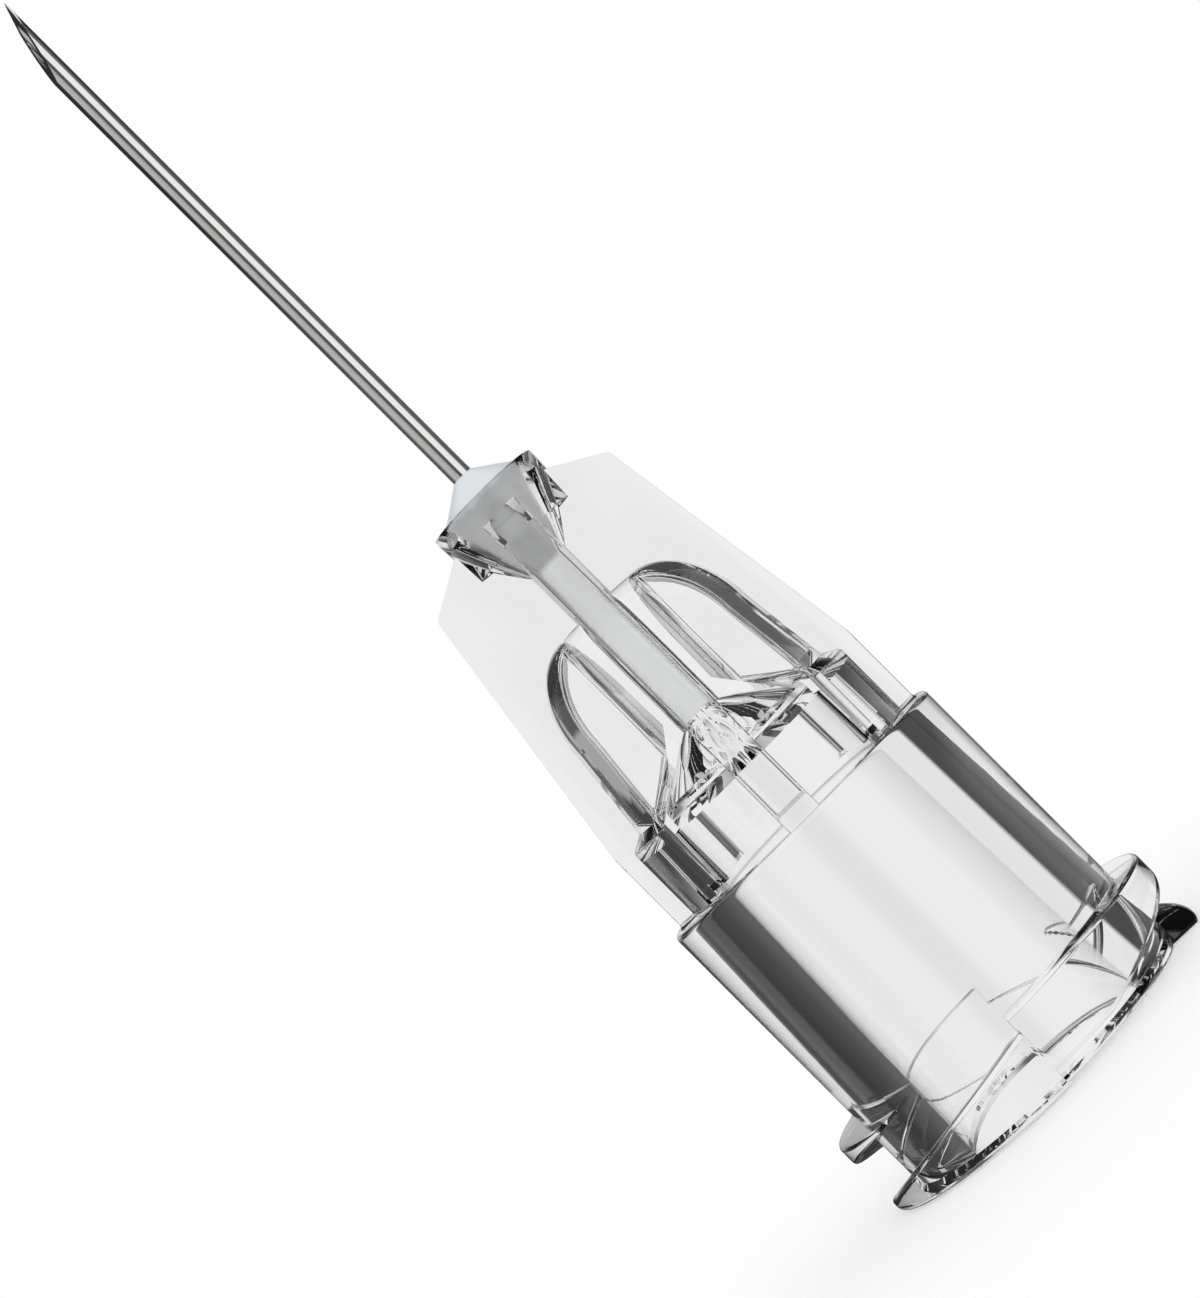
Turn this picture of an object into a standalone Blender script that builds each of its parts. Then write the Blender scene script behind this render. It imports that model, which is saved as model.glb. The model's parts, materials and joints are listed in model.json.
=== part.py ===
"""Hypodermic needle: a clear moulded Luer lock hub, a bevelled steel cannula and the glue between.

The needle stands on the mouth of its hub. The origin is the centre of the mouth, +Z runs along
the cannula to the point, and -Y is the side that faces the viewer. All sizes are in metres.
"""

import math

import bmesh
import bpy
from mathutils import Matrix, Vector

MM = 0.001

# Facets of the turned shapes, and the distance under which two points are one
TURN_STEPS = 76
FINE_STEPS = 32
ARC_STEPS = 4
MERGE = 1e-7
SHARP_ANGLE = math.radians(32)
# How far a shape that is joined to another, or cuts it, reaches into or past it
OVERLAP = 0.3 * MM

# Barrel around the Luer socket
BARREL_RADIUS = 3.285 * MM
BARREL_HEIGHT = 6.60 * MM
BARREL_ROUND = 0.13 * MM
MOUTH_ROUND = 0.04 * MM

# Collar on the barrel, the ledge on it and the bell that narrows to the fins
COLLAR_INSET = 0.549 * MM
COLLAR_HEIGHT = 1.62 * MM
COLLAR_ROUND = 0.06 * MM
LEDGE_WIDTH = 0.326 * MM
LEDGE_RISE = 0.19 * MM
BELL_NARROWING = 0.195 * MM
BELL_SIDE_HEIGHT = 1.79 * MM
CROWN_FLAT_RADIUS = 0.90 * MM
CROWN_HEIGHT = 1.78 * MM
CROWN_STEPS = 9

# Four pockets from the front and the back: a thin web between them, the bell's rim outside them
WEB_HALF = 0.15 * MM
POCKET_STEPS = 7
POCKET_ROUND = 0.08 * MM
RIM = 0.465 * MM
RIM_DRAFT = 0.043
WAIST_HALF = 0.97 * MM
WAIST_DRAFT = 0.20
ROOF_RISE_INSIDE = 0.86 * MM
ROOF_RISE_OUTSIDE = 0.19 * MM
ROOF_DRAFT = 0.23

# Narrow slots that carry the pockets' outer sides on down beside the socket
SLOT_INSET = 0.045 * MM
SLOT_WIDTH = 0.14 * MM
SLOT_WALL = 0.26 * MM
SLOT_LIFT = 0.15 * MM

# Four fins, as two plates that cross on the axis
FIN_INSET = 0.24 * MM
FIN_FOOT_HEIGHT = 1.78 * MM
FIN_FOOT_ROUND = 0.12 * MM
FIN_FOOT_SINK = 0.02 * MM
FIN_TOP_RADIUS = 2.25 * MM
FIN_TOP_DROP = 1.11 * MM
FIN_ROOT_DROP = 0.50 * MM
FIN_TOP_ROUND = 0.16 * MM
FIN_ROOT_HALF = 0.44 * MM
FIN_EDGE_HALF = 0.36 * MM

# Nose around the glue funnel
NOSE_RADIUS = 1.243 * MM
NOSE_FOOT_RADIUS = 1.20 * MM
NOSE_HEIGHT = 1.14 * MM
NOSE_ROUND = 0.05 * MM
NECK_HEIGHT = 1.85 * MM
NOSE_CONE_RADIUS = 0.97 * MM
NOSE_CONE_HEIGHT = 1.13 * MM

# Luer socket: a 6 percent taper, its end wall and the throat up to the cannula bore
SOCKET_MOUTH_RADIUS = 2.15 * MM
SOCKET_MOUTH_ROUND = 0.07 * MM
LUER_TAPER = 0.06
SOCKET_COVER = 0.27 * MM
END_RISE = 0.38 * MM
THROAT_RADIUS = 1.07 * MM
THROAT_HEIGHT = 0.67 * MM
THROAT_TOP_RADIUS = 0.50 * MM
BORE_LEAD = 0.12 * MM

# Bore and funnel that hold the glue
BORE_RADIUS = 0.31 * MM
FUNNEL_RADIUS = 0.97 * MM
FUNNEL_DEPTH = 1.90 * MM

# Luer lock thread: two ridges, each with a step where the halves of the mould meet
THREAD_DEPTH = 0.615 * MM
THREAD_ROUND = 0.10 * MM
THREAD_LEAD = 4.25 * MM
THREAD_STARTS = 2
THREAD_STEP_ANGLE = math.radians(5)
LOW_RIDGE_TOP = 1.30 * MM
HIGH_RIDGE_TOP = 1.67 * MM
HIGH_RIDGE_FLOOR = 0.35 * MM
HIGH_RIDGE_FLAT = math.radians(22)
THREAD_THIN = 0.06 * MM
THREAD_LIFT = 0.02 * MM
THREAD_HALF_STEP = math.radians(0.1)

# Cannula: a drawn tube, its slanted grind and the two lancet grinds beside the point
CANNULA_RADIUS = 0.2165 * MM
LUMEN_RADIUS = 0.115 * MM
EXPOSED_LENGTH = 12.36 * MM
GRIND_LENGTH = 1.92 * MM
GRIND_AZIMUTH = math.radians(204)
LANCET_LENGTH = 0.62 * MM
LANCET_TURN = math.radians(40)

# Glue: its cone above the nose, its foot in the bore, and its clearance to what it holds
GLUE_CONE_HEIGHT = 0.51 * MM
GLUE_FOOT_LIFT = 0.07 * MM
GLUE_GAP = 0.010 * MM

# Radii and heights that follow from the sizes above
COLLAR_RADIUS = BARREL_RADIUS - COLLAR_INSET
BELL_FOOT_RADIUS = COLLAR_RADIUS - LEDGE_WIDTH
BELL_SIDE_RADIUS = BELL_FOOT_RADIUS - BELL_NARROWING
FIN_FOOT_RADIUS = BARREL_RADIUS - FIN_INSET
THREAD_RADIUS = BARREL_RADIUS + THREAD_DEPTH
COLLAR_TOP = BARREL_HEIGHT + COLLAR_HEIGHT
BELL_FOOT = COLLAR_TOP + LEDGE_RISE
CROWN_FOOT = BELL_FOOT + BELL_SIDE_HEIGHT
CROWN_TOP = CROWN_FOOT + CROWN_HEIGHT
NOSE_FOOT = CROWN_TOP + NECK_HEIGHT
NOSE_TOP = NOSE_FOOT + NOSE_HEIGHT
SOCKET_END = COLLAR_TOP - SOCKET_COVER
THROAT_FOOT = SOCKET_END + END_RISE
THROAT_TOP = THROAT_FOOT + THROAT_HEIGHT
BORE_FOOT = THROAT_TOP + BORE_LEAD
FUNNEL_FOOT = NOSE_TOP - FUNNEL_DEPTH
GLUE_FOOT = BORE_FOOT + GLUE_FOOT_LIFT
GLUE_TOP = NOSE_TOP + GLUE_CONE_HEIGHT
CANNULA_TOP = GLUE_TOP + EXPOSED_LENGTH


def clear_scene():
    for thing in list(bpy.data.objects):
        bpy.data.objects.remove(thing, do_unlink=True)


def collection(name):
    made = bpy.data.collections.new(name)
    bpy.context.scene.collection.children.link(made)
    return made


def material(name, color, metallic, roughness, transmission=0.0, ior=1.45):
    made = bpy.data.materials.new(name)
    made.use_nodes = True
    shader = made.node_tree.nodes["Principled BSDF"]
    shader.inputs["Base Color"].default_value = (*color, 1.0)
    shader.inputs["Metallic"].default_value = metallic
    shader.inputs["Roughness"].default_value = roughness
    shader.inputs["Transmission Weight"].default_value = transmission
    shader.inputs["IOR"].default_value = ior
    return made


def object_of(name, mesh, home):
    made = bpy.data.objects.new(name, mesh)
    home.objects.link(made)
    return made


def as_cutter(piece):
    piece.hide_render = True
    piece.display_type = "WIRE"
    return piece


def arc(center, radii, start, end, steps=ARC_STEPS):
    """Points (radius, height) along an ellipse from one angle to another."""
    points = []
    for step in range(steps + 1):
        angle = start + (end - start) * step / steps
        across = center[0] + radii[0] * math.cos(angle)
        up = center[1] + radii[1] * math.sin(angle)
        points.append((across, up))
    return points


def rounded(before, corner, after, radius, steps=ARC_STEPS):
    """Points of the arc that rounds a corner between two straight lines."""
    corner = Vector(corner)
    back = (Vector(before) - corner).normalized()
    ahead = (Vector(after) - corner).normalized()
    half = back.angle(ahead) / 2
    center = corner + (back + ahead).normalized() * (radius / math.sin(half))
    start = corner + back * (radius / math.tan(half)) - center
    end = corner + ahead * (radius / math.tan(half)) - center
    sweep = start.angle_signed(end)
    points = []
    for step in range(steps + 1):
        turned = Matrix.Rotation(-sweep * step / steps, 2) @ start
        points.append(tuple(center + turned))
    return points


def turned(name, profile, home, closed=False, steps=TURN_STEPS):
    """A profile of (radius, height) points, top to bottom on its outer side, turned about Z."""
    mesh = bpy.data.meshes.new(name)
    edges = [(i, i + 1) for i in range(len(profile) - 1)]
    if closed:
        edges.append((len(profile) - 1, 0))
    mesh.from_pydata([(radius, 0.0, height) for radius, height in profile], edges, [])
    piece = object_of(name, mesh, home)
    screw = piece.modifiers.new("turn", "SCREW")
    screw.axis = "Z"
    screw.angle = 2 * math.pi
    screw.steps = steps
    screw.render_steps = steps
    screw.use_merge_vertices = True
    screw.merge_threshold = MERGE
    screw.use_smooth_shade = True
    return piece


def loft(name, sections, home):
    """A closed solid through sections of equally many points, with flat ends."""
    shape = bmesh.new()
    rings = [[shape.verts.new(point) for point in section] for section in sections]
    for ring, following in zip(rings, rings[1:]):
        for i in range(len(ring)):
            j = (i + 1) % len(ring)
            shape.faces.new((ring[i], ring[j], following[j], following[i]))
    shape.faces.new(reversed(rings[0]))
    shape.faces.new(rings[-1])
    bmesh.ops.triangulate(shape, faces=shape.faces)
    bmesh.ops.recalc_face_normals(shape, faces=shape.faces)
    mesh = bpy.data.meshes.new(name)
    shape.to_mesh(mesh)
    shape.free()
    return object_of(name, mesh, home)


def combine(piece, other, operation):
    step = piece.modifiers.new(other.name, "BOOLEAN")
    step.operation = operation
    step.solver = "EXACT"
    step.object = other


def fix_shape(piece, finish):
    """Keeps the evaluated mesh, shaded smooth but for its edges, and gives it its material."""
    graph = bpy.context.evaluated_depsgraph_get()
    mesh = bpy.data.meshes.new_from_object(piece.evaluated_get(graph))
    piece.modifiers.clear()
    piece.data = mesh
    mesh.name = piece.name
    mesh.shade_smooth()
    mesh.set_sharp_from_angle(angle=SHARP_ANGLE)
    mesh.materials.clear()
    mesh.materials.append(finish)


def barrel(home):
    top = BARREL_HEIGHT
    profile = [(0, top)]
    profile += arc(
        (BARREL_RADIUS - BARREL_ROUND, top - BARREL_ROUND),
        (BARREL_ROUND, BARREL_ROUND),
        math.pi / 2,
        0,
    )
    profile += [(BARREL_RADIUS, MOUTH_ROUND), (BARREL_RADIUS - MOUTH_ROUND, 0), (0, 0)]
    return turned("hub", profile, home)


def bell(home):
    """The collar, the ledge and the bell, in one turned piece that starts inside the barrel."""
    profile = [(0, CROWN_TOP)]
    profile += arc(
        (CROWN_FLAT_RADIUS, CROWN_FOOT),
        (BELL_SIDE_RADIUS - CROWN_FLAT_RADIUS, CROWN_HEIGHT),
        math.pi / 2,
        0,
        CROWN_STEPS,
    )
    profile.append((BELL_FOOT_RADIUS, BELL_FOOT))
    profile += rounded(
        (BELL_FOOT_RADIUS, BELL_FOOT),
        (COLLAR_RADIUS, COLLAR_TOP),
        (COLLAR_RADIUS, BARREL_HEIGHT),
        COLLAR_ROUND,
    )
    foot = BARREL_HEIGHT - OVERLAP
    profile += [(COLLAR_RADIUS, foot), (0, foot)]
    return as_cutter(turned("bell", profile, home))


def pocket_outline(away):
    """A pocket's outline this far above its floor: up its waist, and down inside the bell's rim."""
    rim = RIM - RIM_DRAFT * away
    waist = WAIST_HALF - WAIST_DRAFT * away
    crown_width = BELL_SIDE_RADIUS - CROWN_FLAT_RADIUS
    start = math.acos((waist + rim - CROWN_FLAT_RADIUS) / crown_width)
    outline = [(waist, COLLAR_TOP + ROOF_RISE_INSIDE + ROOF_DRAFT * away)]
    outline += arc(
        (CROWN_FLAT_RADIUS - rim, CROWN_FOOT),
        (crown_width, CROWN_HEIGHT),
        start,
        0,
        POCKET_STEPS,
    )
    outline.append((BELL_FOOT_RADIUS - rim, COLLAR_TOP + ROOF_RISE_OUTSIDE - ROOF_DRAFT * away))
    return outline


def pocket(name, side, face, home):
    """The space of one pocket: it widens away from its flat floor, as a mould half draws out."""
    sections = []
    for depth in (WEB_HALF, COLLAR_RADIUS + OVERLAP):
        outline = pocket_outline(depth - WEB_HALF)
        sections.append([(side * across, face * depth, up) for across, up in outline])
    space = as_cutter(loft(name, sections, home))
    edges = space.modifiers.new("edges", "BEVEL")
    edges.width = POCKET_ROUND
    edges.segments = 2
    edges.limit_method = "ANGLE"
    edges.angle_limit = SHARP_ANGLE
    return space


def slot(name, side, face, home):
    """The space of one slot, from the pocket's foot down to just above the barrel."""
    outer = BELL_FOOT_RADIUS - RIM - SLOT_INSET
    inner = outer - SLOT_WIDTH
    top = COLLAR_TOP + ROOF_RISE_OUTSIDE + OVERLAP
    foot = BARREL_HEIGHT + SLOT_LIFT
    floor = math.sqrt((SOCKET_MOUTH_RADIUS + SLOT_WALL - LUER_TAPER * COLLAR_TOP / 2) ** 2 - inner**2)
    outline = [(inner, foot), (outer, foot), (outer, top), (inner, top)]
    sections = []
    for depth in (floor, COLLAR_RADIUS + OVERLAP):
        sections.append([(side * across, face * depth, up) for across, up in outline])
    return as_cutter(loft(name, sections, home))


def fin_outline():
    """The right half of a plate's outline, from the foot up to the nose."""
    foot = (FIN_FOOT_RADIUS, BARREL_HEIGHT - FIN_FOOT_SINK)
    knee = (FIN_FOOT_RADIUS, BARREL_HEIGHT + FIN_FOOT_HEIGHT)
    corner = (FIN_TOP_RADIUS, NOSE_TOP - FIN_TOP_DROP)
    root = (NOSE_FOOT_RADIUS, NOSE_TOP - FIN_ROOT_DROP)
    outline = [(0, BARREL_HEIGHT - OVERLAP)]
    outline.append((FIN_FOOT_RADIUS - FIN_FOOT_ROUND, BARREL_HEIGHT - OVERLAP))
    outline.append((FIN_FOOT_RADIUS + FIN_FOOT_ROUND, BARREL_HEIGHT - BARREL_ROUND))
    outline += rounded((THREAD_RADIUS, foot[1]), foot, knee, FIN_FOOT_ROUND)
    outline.append(knee)
    outline += rounded(knee, corner, root, FIN_TOP_ROUND)
    outline.append(root)
    outline.append((0, root[1]))
    return outline


def fin_plate(name, turn, home):
    """A plate through the axis that carries two fins and thins towards its edges."""
    right = fin_outline()
    left = [(-across, up) for across, up in reversed(right[1:-1])]
    outline = right + left
    thinning = (FIN_ROOT_HALF - FIN_EDGE_HALF) / FIN_FOOT_RADIUS
    shape = bmesh.new()
    faces = []
    for side in (-1, 1):
        ring = []
        for across, up in outline:
            half = FIN_ROOT_HALF - thinning * abs(across)
            ring.append(shape.verts.new((across, side * half, up)))
        faces.append(ring)
    front, back = faces
    spine = len(right) - 1
    shape.faces.new(front[: spine + 1])
    shape.faces.new(front[spine:] + front[:1])
    shape.faces.new(reversed(back[: spine + 1]))
    shape.faces.new(reversed(back[spine:] + back[:1]))
    for i in range(len(outline)):
        j = (i + 1) % len(outline)
        shape.faces.new((front[j], front[i], back[i], back[j]))
    bmesh.ops.recalc_face_normals(shape, faces=shape.faces)
    mesh = bpy.data.meshes.new(name)
    shape.to_mesh(mesh)
    shape.free()
    plate = object_of(name, mesh, home)
    plate.rotation_euler.z = turn
    return as_cutter(plate)


def nose(home):
    """The cup around the funnel, with the cone under it that runs down onto the fins."""
    profile = [(0, NOSE_TOP)]
    profile += arc(
        (NOSE_RADIUS - NOSE_ROUND, NOSE_TOP - NOSE_ROUND),
        (NOSE_ROUND, NOSE_ROUND),
        math.pi / 2,
        0,
    )
    profile.append((NOSE_FOOT_RADIUS, NOSE_FOOT))
    profile.append((NOSE_CONE_RADIUS, NOSE_FOOT))
    profile.append((BORE_RADIUS, NOSE_FOOT - NOSE_CONE_HEIGHT))
    profile.append((0, NOSE_FOOT - NOSE_CONE_HEIGHT))
    return as_cutter(turned("nose", profile, home))


def thread_point(radius, angle, height):
    """A point on the barrel's side; the angle counts from the front, rising to the right."""
    return (radius * math.sin(angle), -radius * math.cos(angle), height)


def thread_section(angle, low, high):
    """The ridge's section at one angle, rounded at its outer edges."""
    inner = BARREL_RADIUS - OVERLAP
    bend = min(THREAD_ROUND, (high - low) / 3)
    section = [(inner, low)]
    section += arc((THREAD_RADIUS - bend, low + bend), (bend, bend), -math.pi / 2, 0, 2)
    section += arc((THREAD_RADIUS - bend, high - bend), (bend, bend), 0, math.pi / 2, 2)
    section.append((inner, high))
    return [thread_point(radius, angle, height) for radius, height in section]


def ridge(name, turn, home):
    """One ridge: its top rises to the step from just above the mouth, its underside after it."""
    rise = THREAD_LEAD / (2 * math.pi)
    start = (THREAD_LIFT + THREAD_THIN - LOW_RIDGE_TOP) / rise
    end = HIGH_RIDGE_FLAT + (HIGH_RIDGE_TOP - THREAD_THIN - HIGH_RIDGE_FLOOR) / rise
    low_steps = math.ceil(-start / THREAD_STEP_ANGLE)
    high_steps = math.ceil(end / THREAD_STEP_ANGLE)
    sections = []
    for step in range(low_steps + 1):
        angle = start * (1 - step / low_steps)
        top = LOW_RIDGE_TOP + rise * angle
        sections.append(thread_section(turn - THREAD_HALF_STEP + angle, THREAD_LIFT, top))
    for step in range(high_steps + 1):
        angle = end * step / high_steps
        floor = HIGH_RIDGE_FLOOR + rise * max(angle - HIGH_RIDGE_FLAT, 0)
        sections.append(thread_section(turn + THREAD_HALF_STEP + angle, floor, HIGH_RIDGE_TOP))
    return as_cutter(loft(name, sections, home))


def socket(home):
    """The hollow: the Luer taper, the throat, the bore and the glue funnel on top."""
    narrowing = LUER_TAPER / 2 * SOCKET_END
    past = OVERLAP
    funnel_spread = (FUNNEL_RADIUS - BORE_RADIUS) / FUNNEL_DEPTH
    profile = [
        (0, NOSE_TOP + past),
        (FUNNEL_RADIUS + funnel_spread * past, NOSE_TOP + past),
        (BORE_RADIUS, FUNNEL_FOOT),
        (BORE_RADIUS, BORE_FOOT),
        (THROAT_TOP_RADIUS, THROAT_TOP),
        (THROAT_RADIUS, THROAT_FOOT),
        (SOCKET_MOUTH_RADIUS - narrowing, SOCKET_END),
        (SOCKET_MOUTH_RADIUS - LUER_TAPER / 2 * SOCKET_MOUTH_ROUND, SOCKET_MOUTH_ROUND),
        (SOCKET_MOUTH_RADIUS + SOCKET_MOUTH_ROUND, 0),
        (SOCKET_MOUTH_RADIUS + SOCKET_MOUTH_ROUND, -past),
        (0, -past),
    ]
    return as_cutter(turned("socket", profile, home))


def build_hub(parts, cutters, finish):
    hub = barrel(parts)
    combine(hub, bell(cutters), "UNION")
    combine(hub, fin_plate("plate_across", 0, cutters), "UNION")
    combine(hub, fin_plate("plate_along", math.pi / 2, cutters), "UNION")
    combine(hub, nose(cutters), "UNION")
    for side, side_name in ((-1, "left"), (1, "right")):
        for face, face_name in ((-1, "front"), (1, "back")):
            place = f"{side_name}_{face_name}"
            combine(hub, pocket(f"pocket_{place}", side, face, cutters), "DIFFERENCE")
            combine(hub, slot(f"slot_{place}", side, face, cutters), "DIFFERENCE")
    for start in range(THREAD_STARTS):
        turn = 2 * math.pi * start / THREAD_STARTS
        combine(hub, ridge(f"ridge_{start}", turn, cutters), "UNION")
    combine(hub, socket(cutters), "DIFFERENCE")
    fix_shape(hub, finish)
    return hub


def grind(name, turn, slope, home):
    """A block whose lower face is a grinding plane through the point."""
    azimuth = GRIND_AZIMUTH + turn
    point = Vector((-math.cos(GRIND_AZIMUTH), -math.sin(GRIND_AZIMUTH), 0)) * CANNULA_RADIUS
    point.z = CANNULA_TOP
    size = 4 * GRIND_LENGTH
    bpy.ops.mesh.primitive_cube_add(size=size)
    block = bpy.context.object
    block.name = name
    for owner in list(block.users_collection):
        owner.objects.unlink(block)
    home.objects.link(block)
    lift = Matrix.Translation((0, 0, size / 2))
    tilt = Matrix.Rotation(math.pi / 2 - slope, 4, "Y")
    face = Matrix.Rotation(azimuth, 4, "Z")
    block.matrix_world = Matrix.Translation(point) @ face @ tilt @ lift
    return as_cutter(block)


def build_cannula(parts, cutters, finish):
    profile = [
        (CANNULA_RADIUS, CANNULA_TOP),
        (CANNULA_RADIUS, GLUE_FOOT),
        (LUMEN_RADIUS, GLUE_FOOT),
        (LUMEN_RADIUS, CANNULA_TOP),
    ]
    cannula = turned("cannula", profile, parts, closed=True, steps=FINE_STEPS)
    slope = math.atan2(2 * CANNULA_RADIUS, GRIND_LENGTH)
    # The lancet planes leave the main grind's outline at the lancet's length from the point
    flare = math.sqrt(GRIND_LENGTH / LANCET_LENGTH - 1)
    steepness = math.cos(LANCET_TURN) + flare * math.sin(LANCET_TURN)
    lancet_slope = math.atan(steepness * math.tan(slope))
    combine(cannula, grind("grind", 0, slope, cutters), "DIFFERENCE")
    for side, name in ((-1, "lancet_left"), (1, "lancet_right")):
        block = grind(name, side * LANCET_TURN, lancet_slope, cutters)
        combine(cannula, block, "DIFFERENCE")
    fix_shape(cannula, finish)
    return cannula


def build_adhesive(parts, finish):
    inner = CANNULA_RADIUS + GLUE_GAP
    outer = BORE_RADIUS - GLUE_GAP
    rim = FUNNEL_RADIUS - GLUE_GAP
    profile = [
        (inner, GLUE_TOP),
        (rim, NOSE_TOP),
        (outer, FUNNEL_FOOT),
        (outer, GLUE_FOOT),
        (inner, GLUE_FOOT),
    ]
    adhesive = turned("adhesive", profile, parts, closed=True)
    fix_shape(adhesive, finish)
    return adhesive


def main():
    clear_scene()
    parts = collection("hypodermic_needle")
    cutters = collection("cutters")
    clear_plastic = material("clear_plastic", (0.95, 0.96, 0.97), 0.0, 0.08, 1.0, 1.49)
    steel = material("steel", (0.62, 0.61, 0.58), 1.0, 0.25)
    white_glue = material("white_glue", (0.74, 0.78, 0.80), 0.0, 0.35)
    build_hub(parts, cutters, clear_plastic)
    build_cannula(parts, cutters, steel)
    build_adhesive(parts, white_glue)


main()
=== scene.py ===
"""Looks of the hypodermic needle: clear moulded hub, ground steel cannula and cured white glue."""

import json
import math

import bmesh
import bpy
from mathutils import Matrix, Vector

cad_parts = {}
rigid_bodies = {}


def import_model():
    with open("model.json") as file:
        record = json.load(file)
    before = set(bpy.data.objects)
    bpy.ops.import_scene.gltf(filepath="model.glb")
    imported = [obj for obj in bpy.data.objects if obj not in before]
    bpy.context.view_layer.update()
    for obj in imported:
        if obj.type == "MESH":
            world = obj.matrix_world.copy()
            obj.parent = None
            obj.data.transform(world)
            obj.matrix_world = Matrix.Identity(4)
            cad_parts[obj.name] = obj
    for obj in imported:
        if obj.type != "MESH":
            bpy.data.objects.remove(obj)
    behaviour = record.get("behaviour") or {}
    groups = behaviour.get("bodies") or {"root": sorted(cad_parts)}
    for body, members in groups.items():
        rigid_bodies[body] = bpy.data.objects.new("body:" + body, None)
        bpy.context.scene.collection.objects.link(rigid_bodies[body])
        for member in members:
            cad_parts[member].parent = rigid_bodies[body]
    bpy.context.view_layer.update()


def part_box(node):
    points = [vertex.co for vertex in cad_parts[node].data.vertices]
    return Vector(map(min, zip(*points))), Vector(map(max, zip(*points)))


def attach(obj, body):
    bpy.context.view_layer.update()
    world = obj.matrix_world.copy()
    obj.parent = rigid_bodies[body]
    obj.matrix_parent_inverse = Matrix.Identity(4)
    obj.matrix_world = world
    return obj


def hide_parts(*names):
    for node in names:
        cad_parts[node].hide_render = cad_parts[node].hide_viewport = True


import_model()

MM = 0.001
ROOT = "root"
_, hub_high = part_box("hub")
cannula_low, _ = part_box("cannula")
glue_low, glue_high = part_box("adhesive")

# Facets of the turned shapes and of their rounded edges
TURN_STEPS = 236
CANNULA_STEPS = 96
ARC_STEPS = 6
MERGE = 1e-7
SHARP_ANGLE = math.radians(28)
# How far a shape that is joined to another, or cuts it, reaches into or past it
OVERLAP = 0.3 * MM

# Barrel around the Luer socket
BARREL_RADIUS = 3.285 * MM
BARREL_HEIGHT = 6.60 * MM
BARREL_ROUND = 0.13 * MM
MOUTH_ROUND = 0.04 * MM

# Collar, ledge and bell
COLLAR_RADIUS = 2.736 * MM
COLLAR_TOP = BARREL_HEIGHT + 1.62 * MM
COLLAR_ROUND = 0.06 * MM
BELL_FOOT = COLLAR_TOP + 0.19 * MM
BELL_FOOT_RADIUS = 2.41 * MM
BELL_SIDE_RADIUS = 2.215 * MM
CROWN_FOOT = BELL_FOOT + 1.79 * MM
CROWN_FLAT_RADIUS = 0.90 * MM
CROWN_HEIGHT = 1.78 * MM
CROWN_TOP = CROWN_FOOT + CROWN_HEIGHT
CROWN_STEPS = 28

# Pockets in the bell: web between them, rim outside them, waist and roof inside
POCKET_FLOOR = 0.15 * MM
POCKET_REACH = 2.85 * MM
POCKET_ROUND = 0.08 * MM
POCKET_BEND = 0.09 * MM
POCKET_STEPS = 14
RIM = 0.42 * MM
WAIST_HALF = 0.97 * MM
WAIST_DRAFT = 0.17
ROOF_HIGH = COLLAR_TOP + 0.86 * MM
ROOF_LOW = COLLAR_TOP + 0.19 * MM
ROOF_DRAFT = 0.23

# Narrow slots that carry the pockets' outer sides on down beside the socket
SLOT_SIDES = (1.72 * MM, 1.95 * MM)
SLOT_FLOOR = 1.30 * MM
SLOT_FOOT = BARREL_HEIGHT + 0.15 * MM

# Four fins, as two plates that cross on the axis
FIN_FOOT_RADIUS = 3.045 * MM
FIN_FOOT_HEIGHT = 1.78 * MM
FIN_FOOT_ROUND = 0.12 * MM
FIN_FOOT_SINK = 0.02 * MM
FIN_TOP_RADIUS = 2.25 * MM
FIN_TOP_DROP = 1.11 * MM
FIN_ROOT_DROP = 0.50 * MM
FIN_TOP_ROUND = 0.16 * MM
FIN_ROOT_HALF = 0.44 * MM
FIN_EDGE_HALF = 0.36 * MM
FIN_EDGE_ROUND = 0.05 * MM
FIN_EDGE_STEPS = 3
FIN_EDGE_ANGLE = math.radians(60)

# Nose around the glue funnel
NOSE_TOP = hub_high.z
NOSE_RADIUS = 1.243 * MM
NOSE_FOOT_RADIUS = 1.20 * MM
NOSE_FOOT = NOSE_TOP - 1.14 * MM
NOSE_ROUND = 0.05 * MM
NOSE_CONE_RADIUS = 0.97 * MM
NOSE_CONE_HEIGHT = 1.13 * MM

# Luer socket with its throat, and the bore and funnel that hold the glue
SOCKET_MOUTH_RADIUS = 2.15 * MM
SOCKET_MOUTH_ROUND = 0.07 * MM
LUER_TAPER = 0.06
SOCKET_END = COLLAR_TOP - 0.27 * MM
THROAT_FOOT = SOCKET_END + 0.325 * MM
THROAT_RADIUS = 1.12 * MM
THROAT_TOP = THROAT_FOOT + 0.69 * MM
THROAT_TOP_RADIUS = 0.47 * MM
BORE_FOOT = THROAT_TOP + 0.155 * MM
BORE_RADIUS = 0.31 * MM
FUNNEL_RADIUS = 0.97 * MM
FUNNEL_FOOT = NOSE_TOP - 1.90 * MM

# Lock thread: two ridges, each with a step where the halves of the mould meet
THREAD_RADIUS = 3.90 * MM
THREAD_ROUND = 0.10 * MM
THREAD_ROUND_STEPS = 5
# Where a ridge is low, it is rounded by its height divided by this
THREAD_ROUND_PARTS = 3
THREAD_LEAD = 4.25 * MM
THREAD_STARTS = 2
THREAD_STEP_ANGLE = math.radians(1.5)
LOW_RIDGE_TOP = 1.30 * MM
HIGH_RIDGE_TOP = 1.67 * MM
HIGH_RIDGE_FLOOR = 0.35 * MM
HIGH_RIDGE_FLAT = math.radians(22)
THREAD_THIN = 0.06 * MM
THREAD_LIFT = 0.02 * MM
THREAD_HALF_STEP = math.radians(0.1)

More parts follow.
